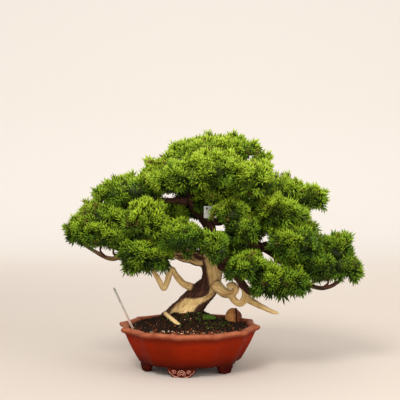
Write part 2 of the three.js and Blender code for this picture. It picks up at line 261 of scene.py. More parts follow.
def facesOut(bm):
    bmesh.ops.remove_doubles(bm, verts=bm.verts, dist=1e-6)
    bmesh.ops.recalc_face_normals(bm, faces=bm.faces)


# camera, floor and light

view = {"distance": 1.75, "height": 0.39, "aimX": 0.023, "aimZ": 0.352, "lens": 75}

camera = bpy.data.objects.new("camera", bpy.data.cameras.new("camera"))
bpy.context.scene.collection.objects.link(camera)
camera.data.lens = view["lens"]
camera.location = potMiddle + Vector((view["aimX"], -view["distance"], view["height"]))
aim = potMiddle + Vector((view["aimX"], 0, view["aimZ"]))
camera.rotation_euler = (aim - camera.location).to_track_quat("-Z", "Y").to_euler()
bpy.context.scene.camera = camera

studio = {
    "floorSize": 7.0, "rise": 3.2, "bend": 0.9, "bendSteps": 12, "wallHeight": 6, "world": 0.94,
    "lampAim": (0, 0, 0.25),
    "lamps": [  # name, place, size, power, colour
        ("key", (-0.7, -1.6, 2.0), 1.0, 38, (1, 0.98, 0.96)),
        ("fill", (1.6, -1.2, 0.9), 1.4, 14, (1, 0.98, 0.95)),
        ("front", (0.3, -2.2, 0.5), 1.0, 9, (1, 0.98, 0.95)),
    ],
}
bpy.context.scene.view_settings.view_transform = "Standard"  # shows the materials' colours unchanged


def makeFloor():
    bm = bmesh.new()
    bmesh.ops.create_grid(bm, x_segments=1, y_segments=1, size=studio["floorSize"])
    back = [e for e in bm.edges if all(v.co.y > 0 for v in e.verts)]
    for v in {v for e in back for v in e.verts}:
        v.co.y = studio["rise"]
    for step in range(studio["bendSteps"]):  # the sweep behind, a quarter turn
        angle = (step + 1) * math.pi / (2 * studio["bendSteps"])
        made = bmesh.ops.extrude_edge_only(bm, edges=back)["geom"]
        back = [e for e in made if isinstance(e, bmesh.types.BMEdge) and all(v in made for v in e.verts)]
        for v in vertsOf(made):
            v.co.y = studio["rise"] + studio["bend"] * math.sin(angle)
            v.co.z = studio["bend"] * (1 - math.cos(angle))
    made = bmesh.ops.extrude_edge_only(bm, edges=back)["geom"]
    bmesh.ops.translate(bm, verts=vertsOf(made), vec=(0, 0, studio["wallHeight"]))
    floor = bpy.data.objects.new("floor", meshFrom(bm, "floor"))
    bpy.context.scene.collection.objects.link(floor)
    paper, tree, shader = startMaterial("pale backdrop paper with painted shade", 0.9, 0.2)
    place = objectPlace(tree)
    # painted shade: the paper is darker towards the front, and near the front darker towards the left
    depth = ramp(tree, spread(tree, parts(tree, place)[1], -1.0, 3.0), [
        (0.0, (200, 190, 180)), (0.35, (212, 202, 191)), (0.7, (234, 225, 215)), (1.0, (246, 242, 236)),
    ])
    side = ramp(tree, spread(tree, parts(tree, place)[0], -1.3, 0.4), [(0.0, 0.84), (1.0, 1.0)])
    near = spread(tree, parts(tree, place)[1], 1.0, 2.6, 1, 0)
    paint(tree, shader, blended(tree, near, depth, side, "MULTIPLY"))
    floor.data.materials.append(paper)


def makeLights():
    for name, place, size, power, colour in studio["lamps"]:
        light = bpy.data.lights.new(name, "AREA")
        light.size = size
        light.energy = power
        light.color = colour
        light.shape = "DISK"
        thing = bpy.data.objects.new(name, light)
        thing.location = place
        aimed = Vector(studio["lampAim"]) - thing.location
        thing.rotation_euler = aimed.to_track_quat("-Z", "Y").to_euler()
        bpy.context.scene.collection.objects.link(thing)
    world = bpy.data.worlds.new("studio")
    world.use_nodes = True
    background = world.node_tree.nodes["Background"]
    background.inputs["Color"].default_value = tone(255, 250, 247)
    background.inputs["Strength"].default_value = studio["world"]
    bpy.context.scene.world = world


makeFloor()
makeLights()
print("studio ready")


# pot

pot = {
    "turn": -8,  # degrees
    "corners": 6,
    "sideRatio": 0.945,  # reach of the small corners against the six
    "hollow": 0.065,  # depth of the dips between them
    "hollowSkew": 0.65,
    "point": 0.042,  # rise of the sharp point on each small corner
    "pointNarrow": 6,
    "evenReach": 0.945,  # what a softened outline tends to
    "bodyEase": 3.6, "lipEase": 0.9,  # how far the corners are eased, in degrees
    "unevenness": 0.35,  # of the hand-made wall
    "cornerRadius": 152,
    "height": 92,
    "footHeight": 18,
    "baseRadius": 113,
    "bulge": 0.95,
    "footRound": 4,  # height of the rounding under the side
    "wall": 9,
    "floor": 9,
    "lipDepth": 11,
    "lipOverhang": 8.5,
    "segments": 144,
    "drainRadius": 12,
    "drainSpacing": 84,
}
turn = math.radians(pot["turn"])
sixth = 2 * math.pi / pot["corners"]


def outline(angle, soften=0.0):
    # the wavy outline: a corner, a dip, a smaller corner in the middle of the side, a dip
    along = abs(((angle - turn + sixth / 2) % sixth) - sixth / 2) / (sixth / 2)
    dip = pot["hollow"] * math.sin(math.pi * along ** pot["hollowSkew"])
    reach = 1 + (pot["sideRatio"] - 1) * along - dip
    reach += pot["point"] * max(0.0, 1 - (1 - along) * pot["pointNarrow"])
    return reach + soften * (pot["evenReach"] - reach)


def anglesRound(count):
    return [turn + k * 2 * math.pi / count for k in range(count)]


def easedOutline(angle, ease, soften=0.0):
    # the outline with its corners eased, by taking the middle of a few places round it
    return sum(outline(angle + ease * step, soften) for step in (-1, -0.5, 0, 0.5, 1)) / 5


def makePot():
    lip, top, bottom, base = pot["cornerRadius"], pot["height"], pot["footHeight"], pot["baseRadius"]
    bodyTop = top - pot["lipDepth"]
    sideTop = lip - pot["lipOverhang"]
    inside = bottom + pot["floor"]

    def side(share, inset=0):
        # radius and height at a share of the way up the side
        swell = math.sin(share * pot["bulge"]) / math.sin(pot["bulge"])
        start = bottom + pot["footRound"]
        return base + (sideTop - base) * swell - inset, start + (bodyTop - start) * share

    # the section, from the middle of the underside out, up, over the lip and down inside
    outer = [(30, bottom), (70, bottom), (base - 8, bottom), (base - 3, bottom + 1)]
    outer += [side(row / 12) for row in range(12)]
    outer += [(sideTop + 0.6, bodyTop - 1.6), (sideTop + 2.6, bodyTop), (sideTop + 5, bodyTop + 1.2)]
    outer += [(lip - 1.6, bodyTop + 3), (lip + 0.1, bodyTop + 5.5), (lip - 0.3, top - 2.4)]
    inner = [(lip - 3, top - 0.4), (lip - 7, top + 0.1), (lip - 12, top - 0.4), (lip - 14.6, top - 2)]
    inner += [(lip - 15.6, top - 4.5), (lip - 16, top - 8)]
    inner += [side(share, pot["wall"]) for share in (0.9, 0.7, 0.5, 0.3, 0.15)]
    inner += [(base - 16, inside), (60, inside), (20, inside)]
    bm = bmesh.new()
    bmesh.ops.create_circle(bm, segments=pot["segments"], radius=1)
    first = ring = list(bm.verts)
    angles = anglesRound(len(ring))

    def place(ring, radius, z):
        # sharp on the lip and the side, softer under the foot
        soften = 0.5 * max(0.0, 1 - z / 34)
        ease = math.radians(pot["lipEase"] if z > bodyTop + 1 else pot["bodyEase"])
        for vertex, angle in zip(ring, angles):
            reach = easedOutline(angle, ease, soften) * radius * (1 + 0.2 * ease)
            around = Vector((math.cos(angle), math.sin(angle), z * 0.05))
            reach += pot["unevenness"] * noise.noise(around * 2.2)
            vertex.co = (reach * math.cos(angle), reach * math.sin(angle), z)

    for index, (radius, z) in enumerate(outer + inner):
        ring = ring if index == 0 else nextRing(bm, ring)
        place(ring, radius, z)
    closeRing(bm, first)
    closeRing(bm, ring)
    bmesh.ops.recalc_face_normals(bm, faces=bm.faces)
    bm = drilled(bm)
    addFeet(bm)
    bmesh.ops.recalc_face_normals(bm, faces=bm.faces)
    toFrame(bm)
    mesh = meshFrom(bm, "clay pot")
    mesh.materials.append(clayMaterial())
    mesh.materials.append(scrollMaterial())
    finishPiece(mesh, "clay_pot", None, ["pot"])


def drilled(bm):
    # the bowl with its drain holes, cut by two rods
    bowl = bpy.data.objects.new("bowl", meshFrom(bm, "bowl"))
    rods = bmesh.new()
    radius, depth = pot["drainRadius"], 5 * pot["floor"]
    for way in (-0.5, 0.5):
        rod = bmesh.ops.create_cone(
            rods, cap_ends=True, segments=32, radius1=radius, radius2=radius, depth=depth)["verts"]
        bmesh.ops.translate(rods, verts=rod, vec=(way * pot["drainSpacing"], 0, pot["footHeight"]))
    drill = bpy.data.objects.new("drill", meshFrom(rods, "drill"))
    for thing in (bowl, drill):
        bpy.context.scene.collection.objects.link(thing)
    cutter = bowl.modifiers.new("drain holes", "BOOLEAN")
    cutter.operation = "DIFFERENCE"
    cutter.solver = "EXACT"
    cutter.object = drill
    applied(bowl)
    cut = bmesh.new()
    cut.from_mesh(bowl.data)
    for thing in (bowl, drill):
        bpy.data.objects.remove(thing)
    return cut


foot = {
    "width": 58, "sideWidth": 38, "thickness": 13, "inset": 13, "overlap": 2.5,
    "rim": 1.1, "face": 1.3, "sunk": 0.7,  # the face's border, how far it stands out, and its sunk middle
}
scroll = {
    "radius": 0.75, "sunk": 0.5, "halfWidth": 32,  # drawn for a foot this wide, and scaled to the others
    "curlX": 16, "curlZ": 11, "curlReach": 5.4, "curlSteps": 15, "curlTurn": 0.62, "curlSquash": 0.8,
    "rim": [(5, 1.8), (10, 1.6), (15, 2.2), (19, 4.2), (21, 7.4), (26, 9.6), (29, 15)],
    "arches": (3.2, 6.3, 9.4), "archFoot": 3.4, "archStretch": 1.2,
}


def footEdge(half):
    # half of a foot's outline, from its flat bottom out over two lobes to its top corner
    top = pot["footHeight"] + foot["overlap"]
    edge = [(0, 0), (0.2 * half, 0), (0.4 * half, 0), (0.56 * half, 0.03 * top)]
    edge += [(0.67 * half, 0.12 * top), (0.72 * half, 0.24 * top), (0.72 * half, 0.35 * top)]
    edge += [(0.82 * half, 0.37 * top), (0.91 * half, 0.46 * top), (0.97 * half, 0.64 * top)]
    return edge + [(half, top)]


def addFeet(bm):
    radius = pot["baseRadius"] * pot["sideRatio"] - foot["inset"]
    for k in range(pot["corners"]):
        wide = k % 3 == 1  # the front and the back foot
        half = (foot["width"] if wide else foot["sideWidth"]) / 2
        right = footEdge(half)
        around = right + [(-x, z) for x, z in reversed(right[1:])]
        angle = turn + (k + 0.5) * sixth
        made = [bm.verts.new((x, -foot["thickness"] / 2, z)) for x, z in around]
        face = bm.faces.new(made)
        pulled = bmesh.ops.extrude_face_region(bm, geom=[face])["geom"]
        front = vertsOf(pulled)
        bmesh.ops.translate(bm, verts=front, vec=(0, foot["thickness"], 0))
        made += front
        faces = [f for f in pulled if isinstance(f, bmesh.types.BMFace)]
        for depth in (foot["face"], -foot["sunk"]):
            inset = bmesh.ops.inset_region(
                bm, faces=faces, thickness=foot["rim"], depth=depth, use_even_offset=True)
            made += [v for f in inset["faces"] + faces for v in f.verts]
        # the side feet's scrolls keep the dark clay of the feet, painted shade; only the front and back
        # feet's scrolls are pale
        made += addScrolls(bm, half / scroll["halfWidth"], int(wide))
        made = list({v: None for v in made})
        bmesh.ops.rotate(bm, verts=made, matrix=Matrix.Rotation(angle - math.pi / 2, 3, "Z"))
        shift = Vector((math.cos(angle), math.sin(angle), 0)) * radius
        bmesh.ops.translate(bm, verts=made, vec=shift)


def addScrolls(bm, stretch, slot):
    # raised cloud scrolls on the outer face: two curls and nested arches between them
    lines = []
    for way in (-1, 1):
        curl = []
        for step in range(scroll["curlSteps"]):
            a = step * scroll["curlTurn"]
            reach = scroll["curlReach"] * (1 - step / (scroll["curlSteps"] + 1))
            across = way * (scroll["curlX"] + reach * math.cos(a))
            curl.append((across, scroll["curlZ"] + scroll["curlSquash"] * reach * math.sin(a)))
        lines += [curl, [(way * x, z) for x, z in scroll["rim"]]]
    for reach in scroll["arches"]:
        rise = scroll["archStretch"] * reach
        arch = np.linspace(0.05, 3.09, 9)
        lines.append([(reach * math.cos(a), scroll["archFoot"] + rise * math.sin(a)) for a in arch])
    made = []
    before = set(bm.faces)
    out = foot["thickness"] / 2 + foot["face"] - scroll["sunk"]
    for line in lines:
        points = [Vector((x * stretch, out, z)) for x, z in line]
        made += addRope(bm, points, scroll["radius"] * (0.5 + 0.5 * stretch))
    for face in set(bm.faces) - before:
        face.material_index = slot
    return made


def addRope(bm, line, radius, sides=6):
    # a thin round rod along a line of points, finer at its ends
    ring = bmesh.ops.create_circle(bm, segments=sides, radius=radius)["verts"]
    made, first = list(ring), ring
    for index, centre in enumerate(line):
        ahead = aheadAt(line, index)
        across = ahead.cross(Vector((0, 1, 0))).normalized()
        out = across.cross(ahead)
        if index:
            ring = nextRing(bm, ring)
            made += ring
        slim = radius * (0.55 if index in (0, len(line) - 1) else 1)
        for k, vertex in enumerate(ring):
            a = 2 * math.pi * k / sides
            vertex.co = centre + across * slim * math.cos(a) + out * slim * math.sin(a)
    closeRing(bm, first)
    closeRing(bm, ring)
    return made


def clayMaterial():
    material, tree, shader = startMaterial("red brown clay", 0.5, 0.02)
    place = objectPlace(tree)
    height = parts(tree, place)[2]
    # the colour by height holds painted shade: dark on the feet and the foot of the side, and a darker
    # band just under the lip; the lip itself is paler
    body = ramp(tree, spread(tree, height, 0.0, 0.092), [
        (0.0, (52, 18, 16)), (0.17, (60, 17, 12)), (0.24, (66, 16, 8)), (0.45, (122, 28, 6)),
        (0.72, (138, 34, 8)), (0.86, (112, 30, 12)), (0.91, (126, 56, 34)), (1.0, (144, 74, 48)),
    ])
    patches = noisy(tree, place, 14, 5, 0.6)
    worn = blended(tree, spread(tree, patches, 0.35, 0.75, 0, 0.6), body, tone(96, 24, 8))
    dust = noisy(tree, place, 70, 6, 0.7)
    onTop = sums(tree, spread(tree, height, 0.081, 0.089), spread(tree, dust, 0.3, 0.7), "MULTIPLY")
    dusty = blended(tree, onTop, worn, tone(170, 104, 74))
    grain = ramp(tree, cells(tree, place, 900), [(0.0, 0.74), (0.35, 1.0)])
    coloured = blended(tree, 1.0, dusty, grain, "MULTIPLY")
    paint(tree, shader, coloured)
    rough = spread(tree, noisy(tree, place, 60, 6, 0.7), 0.3, 0.7, 0.42, 0.64)
    tree.links.new(rough, shader.inputs["Roughness"])
    fine = sums(tree, noisy(tree, place, 420, 4), noisy(tree, place, 45, 3))
    raised(tree, shader, fine, 0.0004, 0.5)
    return material


def scrollMaterial():
    # the raised scrolls, rubbed pale on their crests
    stops = [(0.3, (144, 74, 56)), (0.5, (196, 126, 104)), (0.7, (226, 174, 152))]
    return mottledMaterial("rubbed clay scrolls", 0.5, 0.2, (130, 4, 0.6), stops, (0.0003, 0.6))


makePot()
print("pot ready")


# soil

soil = {
    "drop": 6, "moundHeight": 35, "moundSpread": 40, "moundX": -4, "moundY": 40,
    "rings": 34, "segments": 144, "edgeRadius": 132.5, "tuckedIn": 3, "tuckedDown": 11,
    "soften": 0.3,  # of the pot's outline
    "swell": 1.7, "crumbs": 1.1,  # how far the surface rolls and crumbles, in mm
}


def moundHeight(x, y):
    away = ((x - soil["moundX"]) ** 2 + (y - soil["moundY"]) ** 2) / (2 * soil["moundSpread"] ** 2)
    return pot["height"] - soil["drop"] + soil["moundHeight"] * math.exp(-away)


def swell(x, y):
    return soil["swell"] * noise.noise(Vector((x, y, 0)) * 0.09)


def makeSoil():
    bm = bmesh.new()
    first = ring = bmesh.ops.create_circle(bm, segments=soil["segments"], radius=1)["verts"]
    angles = anglesRound(len(ring))
    rows = [(soil["edgeRadius"] - soil["tuckedIn"], -soil["tuckedDown"])]
    rows += [(soil["edgeRadius"] * (1 - k / soil["rings"]), 0) for k in range(soil["rings"])]
    for index, (radius, sink) in enumerate(rows):
        if index:
            ring = nextRing(bm, ring)
        for vertex, angle in zip(ring, angles):
            reach = outline(angle, soil["soften"]) * radius
            x, y = reach * math.cos(angle), reach * math.sin(angle)
            rough = swell(x, y) + soil["crumbs"] * noise.noise(Vector((x, y, 5)) * 0.31)
            vertex.co = (x, y, moundHeight(x, y) + sink + rough)
    closeRing(bm, first)
    closeRing(bm, ring)
    facesOut(bm)
    toFrame(bm)
    finishPiece(meshFrom(bm, "soil bed"), "soil_bed", soilMaterial(), ["soil"])


def soilMaterial():
    material, tree, shader = startMaterial("dark planting grit", 0.9, 0.08)
    place = objectPlace(tree)
    lumps = cells(tree, place, 320, "Color")
    shades = ramp(tree, parts(tree, lumps)[0], [
        (0.0, (20, 13, 8)), (0.5, (36, 22, 13)), (0.8, (58, 34, 19)), (1.0, (92, 52, 28)),
    ])
    damp = noisy(tree, place, 22, 3)
    colour = blended(tree, spread(tree, damp, 0.4, 0.62, 0, 0.7), shades, tone(20, 16, 11))
    paint(tree, shader, colour)
    raised(tree, shader, cells(tree, place, 320), 0.0015, 0.8)
    return material


# scattered copies of a small shape

def shapeArrays(bm):
    # a small shape's corners, triangles and map, and the shape is done with
    bmesh.ops.triangulate(bm, faces=bm.faces)
    bm.verts.ensure_lookup_table()
    mapLayer = bm.loops.layers.uv.active
    corners = np.array([v.co for v in bm.verts])
    faces = np.array([[v.index for v in f.verts] for f in bm.faces])
    maps = np.array([[loop[mapLayer].uv for loop in f.loops] for f in bm.faces])
    bm.free()
    return corners, faces, maps


def scattered(shapes, which, places, turns, mapMoves, mapScales):
    # one mesh of many placed copies; turns holds a 3x3 turn and size for each copy
    corners, faces, maps, start = [], [], [], 0
    for kind, (shape, triangles, flatMap) in enumerate(shapes):
        chosen = np.flatnonzero(which == kind)
        if not len(chosen):
            continue
        moved = np.einsum("kij,nj->kni", turns[chosen], shape) + places[chosen][:, None]
        corners.append(moved.reshape(-1, 3))
        offsets = start + np.arange(len(chosen)) * len(shape)
        faces.append((triangles[None] + offsets[:, None, None]).reshape(-1, 3))
        laid = flatMap[None] * mapScales[chosen][:, None, None, :] + mapMoves[chosen][:, None, None, :]
        maps.append(laid.reshape(-1, 2))
        start += len(chosen) * len(shape)
    return np.concatenate(corners), np.concatenate(faces), np.concatenate(maps)


def meshOfArrays(name, corners, faces, maps, smooth):
    mesh = bpy.data.meshes.new(name)
    mesh.vertices.add(len(corners))
    mesh.vertices.foreach_set("co", corners.ravel())
    mesh.loops.add(len(faces) * 3)
    mesh.loops.foreach_set("vertex_index", faces.ravel())
    mesh.polygons.add(len(faces))
    mesh.polygons.foreach_set("loop_start", np.arange(len(faces)) * 3)
    layer = mesh.uv_layers.new(name="OFBake")
    layer.data.foreach_set("uv", maps.ravel())
    mesh.update(calc_edges=True)
    mesh.validate()
    if smooth:
        mesh.shade_smooth()
    return mesh


def turnTo(directions, spins, sizes):
    # turns that take +Z to each direction, after a spin about +Z, with a size
    ahead = directions / np.linalg.norm(directions, axis=1)[:, None]
    helper = np.where(np.abs(ahead[:, 2:3]) < 0.9, [[0.0, 0.0, 1.0]], [[1.0, 0.0, 0.0]])
    across = np.cross(helper, ahead)
    across /= np.linalg.norm(across, axis=1)[:, None]
    third = np.cross(ahead, across)
    c, s = np.cos(spins)[:, None], np.sin(spins)[:, None]
    columns = np.stack([c * across + s * third, -s * across + c * third, ahead], axis=2)
    return columns * sizes[:, None, None]


grains = {
    "count": 6400, "radius": 127, "smallest": 0.8, "largest": 2.0,
    "bright": 0.025, "frontBright": 0.42,  # shares of red grains, all over and more at the front
    "pale": 0.006, "frontPale": 0.1,
    "frontFrom": 56, "frontDepth": 34, "frontLarger": 0.5,
}


def grainShape(seed):
    bm = bmesh.new()
    layer = bm.loops.layers.uv.new("OFBake")
    bmesh.ops.create_icosphere(bm, subdivisions=1, radius=1)
    chance = random.Random(seed)
    for v in bm.verts:
        v.co *= 0.72 + 0.5 * chance.random()
    for index, face in enumerate(bm.faces):
        for loop, at in zip(face.loops, ((0, 0), (1, 0), (0.5, 1))):
            loop[layer].uv = (at[0] * 0.02, (index % 5) * 0.12 + at[1] * 0.3)
    return shapeArrays(bm)


def gritMaterial():
    # the map's first way picks a grain's stone, the second its shade
    material, tree, shader = startMaterial("loose planting grains", 0.85, 0.1)
    spot = parts(tree, uvMap(tree))
    stones = ramp(tree, spot[0], [
        (0.0, (20, 14, 9)), (0.25, (46, 30, 18)), (0.45, (84, 48, 25)),
        (0.62, (138, 66, 32)), (0.8, (178, 86, 42)), (0.9, (190, 160, 128)), (1.0, (232, 220, 200)),
    ])
    shade = ramp(tree, spot[1], [(0.0, 0.7), (1.0, 1.05)])
    paint(tree, shader, blended(tree, 1.0, stones, shade, "MULTIPLY"))
    return material


def uvMap(tree):
    node = tree.nodes.new("ShaderNodeUVMap")
    node.uv_map = "OFBake"
    return node.outputs["UV"]


def makeGrains():
    chance = np.random.default_rng(11)
    shapes = [grainShape(seed) for seed in range(4)]
    count = grains["count"]
    angles = chance.uniform(0, 2 * math.pi, count)
    radii = grains["radius"] * np.sqrt(chance.uniform(0, 1, count))
    reach = np.array([outline(a, soil["soften"]) for a in angles]) * radii
    x, y = reach * np.cos(angles), reach * np.sin(angles)
    front = np.clip((-y - grains["frontFrom"]) / grains["frontDepth"], 0, 1) * chance.uniform(0, 1, count)
    kind = chance.beta(1.2, 4.0, count) * 0.62
    bright = chance.uniform(0, 1, count) < grains["bright"] + grains["frontBright"] * front
    kind[bright] = chance.uniform(0.56, 0.84, bright.sum())
    pale = chance.uniform(0, 1, count) < grains["pale"] + grains["frontPale"] * (front > 0.3)
    kind[pale] = chance.uniform(0.86, 0.97, pale.sum())
    sizes = chance.uniform(grains["smallest"], grains["largest"], count)
    sizes = sizes * (1 + grains["frontLarger"] * front)
    z = np.array([moundHeight(a, b) + swell(a, b) for a, b in zip(x, y)]) + sizes * 0.3
    places = placesInFrame(x, y, z)
    turns = turnTo(chance.normal(size=(count, 3)), chance.uniform(0, 6.28, count), sizes * mm)
    moves = np.stack([0.01 + kind * 0.96, chance.uniform(0.02, 0.15, count)], 1)
    scales = np.ones((count, 2))
    made = scattered(shapes, chance.integers(0, 4, count), places, turns, moves, scales)
    finishPiece(meshOfArrays("soil grains", *made, False), "soil_grains", gritMaterial(), [])


moss = {
    "tufts": 620, "onCushion": 0.75,  # how many, and the share on the cushion
    "fill": 0.82, "sunk": 0.001,  # size against the node, and how far down, in metres
    "smallest": 2.6, "largest": 4.6,
    # where the loose specks lie: the middle, how widely, and how far at most
    "x": (22, 34, -70, 96), "y": (6, 26, -60, 60),
}


def makeMoss():
    # tufts of moss: a cushion beside the trunk, and sparse specks over the soil round it
    chance = np.random.default_rng(23)
    low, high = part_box("moss")
    middle, half = (low + high) / 2, (high - low) / 2
    shapes = [mossTuft(seed) for seed in range(3)]
    onCushion = int(moss["tufts"] * moss["onCushion"])
    ways = chance.normal(size=(onCushion, 3))
    ways[:, 2] = np.abs(ways[:, 2])
    ways /= np.linalg.norm(ways, axis=1)[:, None]
    cushion = np.array(middle) + ways * np.array(half) * moss["fill"]
    cushion[:, 2] -= moss["sunk"]
    count = moss["tufts"] - onCushion
    spans = (moss["x"], moss["y"])
    x, y = (np.clip(chance.normal(at, wide, count), least, most) for at, wide, least, most in spans)
    z = np.array([moundHeight(a, b) for a, b in zip(x, y)]) + 0.4
    places = np.concatenate([cushion, placesInFrame(x, y, z)])
    ways = np.concatenate([ways + (0, 0, 0.4), chance.normal(0, 0.3, (count, 3)) + (0, 0, 1)])
    total = len(places)
    spins = chance.uniform(0, 6.28, total)
    turns = turnTo(ways, spins, chance.uniform(moss["smallest"], moss["largest"], total) * mm)
    moves = np.stack([chance.uniform(0.05, 0.9, total), np.full(total, 0.01)], 1)
    scales = np.stack([np.ones(total), chance.uniform(0.6, 0.97, total)], 1)
    made = scattered(shapes, chance.integers(0, 3, total), places, turns, moves, scales)
    finishPiece(meshOfArrays("moss tufts", *made, False), "moss_tufts", mossMaterial(), ["moss"])


def mossTuft(seed):
    chance = random.Random(seed + 40)
    bm = bmesh.new()
    layer = bm.loops.layers.uv.new("OFBake")
    for k in range(7):
        a = 2.4 * k + chance.uniform(-0.4, 0.4)
        lean = 0.25 + 0.12 * k
        way = Vector((math.cos(a) * lean, math.sin(a) * lean, 1))
        length = chance.uniform(0.8, 1.25)
        addShoot(bm, layer, Vector((0, 0, -0.2)), way, length, 0.13, 0.0, 1.0, 0.01 * k)
    return shapeArrays(bm)


def mossMaterial():
    material, tree, shader = startMaterial("cushion moss", 0.85, 0.2)
    spot = parts(tree, uvMap(tree))
    # the map's second way runs from a dark foot to a bright tip of each shoot, painted shade and painted
    # light; the first blends dull and green
    dull = ramp(tree, spot[1], [(0.0, (18, 20, 8)), (0.5, (44, 56, 18)), (1.0, (86, 98, 36))])
    green = ramp(tree, spot[1], [(0.0, (26, 38, 8)), (0.5, (74, 108, 22)), (1.0, (136, 168, 52))])
    paint(tree, shader, blended(tree, spot[0], dull, green))
    return material


def addShoot(bm, layer, root, way, length, radius, low, high, across):
    # a plump shoot: three sides, pointed at both ends, with the map's second way along it
    ahead = way.normalized()
    side = ahead.cross(Vector((0.3, 0.9, 0.2))).normalized()
    other = ahead.cross(side)
    base, tip = bm.verts.new(root), bm.verts.new(root + ahead * length)
    middle = low + (high - low) * 0.5
    waist = []
    for k in range(3):
        a = 2 * math.pi * k / 3
        out = (side * math.cos(a) + other * math.sin(a)) * radius
        waist.append(bm.verts.new(root + ahead * length * 0.5 + out))
    for k in range(3):
        one, two = waist[k], waist[(k + 1) % 3]
        for corners, end in (((base, two, one), low), ((tip, one, two), high)):
            face = bm.faces.new(corners)
            for loop, level, shift in zip(face.loops, (end, middle, middle), (0.5, 0.0, 1.0)):
                loop[layer].uv = (across + shift * 0.02, level)


makeSoil()
makeGrains()
makeMoss()
print("soil ready")


# stone, label, tag and screens

def roundedCopy(node, cuts, smooth=0.0):
    # a welded and finer copy of a node's solid
    bm = bmesh.new()
    bm.from_mesh(frame["nodes"][node].data)
    bmesh.ops.remove_doubles(bm, verts=bm.verts, dist=1e-6)
    if cuts:
        bmesh.ops.subdivide_edges(bm, edges=bm.edges, cuts=cuts, use_grid_fill=True, smooth=smooth)
    return bm


stone = {
    "finer": 5,
    "lumps": [  # rise, closeness, shift
        (0.07, 1.6, (3, 1, 4)), (0.03, 5, (0, 0, 0)), (0.012, 14, (0, 0, 0)),
    ],
    "ridgeAt": 0.36, "ridgeWidth": 0.13, "ridgeOut": 0.09, "ridgeUp": 0.039,
    "taper": 0.07, "within": 0.03,
    "seamSpan": 0.017,  # half the width the colours cross, in metres
}


def makeStone():
    low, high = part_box("stone")
    middle, half = (low + high) / 2, (high - low) / 2
    bm = bmesh.new()
    bmesh.ops.create_icosphere(bm, subdivisions=stone["finer"], radius=1)
    for v in bm.verts:
        p = v.co.copy()
        ridge = math.exp(-((p.x - stone["ridgeAt"]) / stone["ridgeWidth"]) ** 2)
        lumps = sum(rise * noise.noise(p * close + Vector(shift)) for rise, close, shift in stone["lumps"])
        out = 1 + lumps - stone["within"] + stone["ridgeOut"] * ridge * (p.y < 0.2)
        up = out + stone["ridgeUp"] * ridge * max(0.0, p.z)
        v.co.x = middle.x + p.x * half.x * out * (1 - stone["taper"] * p.z)
        v.co.y = middle.y + p.y * half.y * out
        v.co.z = middle.z + p.z * half.z * (up - stone["within"])
    finishPiece(meshFrom(bm, "stone"), "standing_stone", stoneMaterial(middle), ["stone"])


def stoneMaterial(middle):
    # ochre on the left, a dark seam up the ridge, dull red on the right
    material, tree, shader = startMaterial("ochre and red stone", 0.62, 0.15)
    place = objectPlace(tree)
    across = parts(tree, place)[0]
    stray = noisy(tree, place, 70, 4, 0.6)
    wander = sums(tree, across, spread(tree, stray, 0, 1, -0.0025, 0.0025))
    span = stone["seamSpan"]
    sides = ramp(tree, spread(tree, wander, middle.x - span, middle.x + span), [
        (0.0, (190, 138, 74)), (0.42, (200, 136, 76)), (0.6, (160, 100, 56)), (0.66, (30, 14, 9)),
        (0.71, (26, 13, 9)), (0.77, (132, 72, 44)), (1.0, (112, 60, 40)),
    ])
    mottled = ramp(tree, noisy(tree, place, 170, 6, 0.75), [(0.34, 0.42), (0.66, 1.12)])
    paint(tree, shader, blended(tree, 1.0, sides, mottled, "MULTIPLY"))
    raised(tree, shader, noisy(tree, place, 240, 6, 0.75), 0.0016, 0.9)
    return material


label = {"sharpAngle": 0.5, "rounding": 0.35}


def makeLabel():
    bm = roundedCopy("plant_label", 0)
    sharp = [e for e in bm.edges if e.calc_face_angle(0) > label["sharpAngle"]]
    rounding = label["rounding"] * mm
    bmesh.ops.bevel(bm, geom=sharp, offset=rounding, affect="EDGES", segments=2, profile=0.5, material=-1)
    bmesh.ops.triangulate(bm, faces=bm.faces)
    mesh = meshFrom(bm, "plant label", False)
    finishPiece(mesh, "label_stake", labelMaterial(), ["plant_label"])


def labelMaterial():
    # weathered pale plastic, stained rosy towards the soil
    material, tree, shader = startMaterial("weathered plastic strip", 0.45, 0.45)
    place = objectPlace(tree)
    low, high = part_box("plant_label")
    height = spread(tree, parts(tree, place)[2], low.z + 0.02, high.z)
    base = ramp(tree, height, [
        (0.0, (176, 138, 120)), (0.3, (206, 178, 160)), (0.55, (186, 180, 168)), (1.0, (150, 148, 140)),
    ])
    grime = noisy(tree, stretched(tree, place, (260, 260, 90)), 1.0, 5, 0.65)
    dirty = blended(tree, spread(tree, grime, 0.5, 0.75, 0, 0.6), base, tone(98, 86, 70))
    paint(tree, shader, dirty)
    raised(tree, shader, grime, 0.0001, 0.5)
    return material


tag = {"cuts": 3, "curl": 0.0012, "buckle": 0.0004}  # the last two in metres


def makeTag():
    bm = roundedCopy("name_tag", tag["cuts"])
    low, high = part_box("name_tag")
    for v in bm.verts:
        share = (v.co.x - low.x) / (high.x - low.x)
        v.co.y += tag["curl"] * math.sin(share * math.pi) + tag["buckle"] * noise.noise(v.co * 90)
    finishPiece(meshFrom(bm, "card tag", False), "hanging_tag", tagMaterial(), ["name_tag"])
    stops = [(0.3, (88, 58, 42)), (0.7, (140, 98, 72))]
    metal = mottledMaterial("brown tying wire", 0.4, 0.5, (600, 3), stops)
    metal.node_tree.nodes["Principled BSDF"].inputs["Metallic"].default_value = 0.9
    bm = roundedCopy("tag_wire", 1, 0.5)
    finishPiece(meshFrom(bm, "tying wire"), "tying_wire", metal, ["tag_wire"])


def tagMaterial():
    stops = [(0.3, (176, 180, 168)), (0.55, (206, 208, 198)), (0.75, (222, 224, 214))]
    return mottledMaterial("weathered card", 0.7, 0.3, (70, 5, 0.65), stops, (0.0001, 0.4), (900, 3))


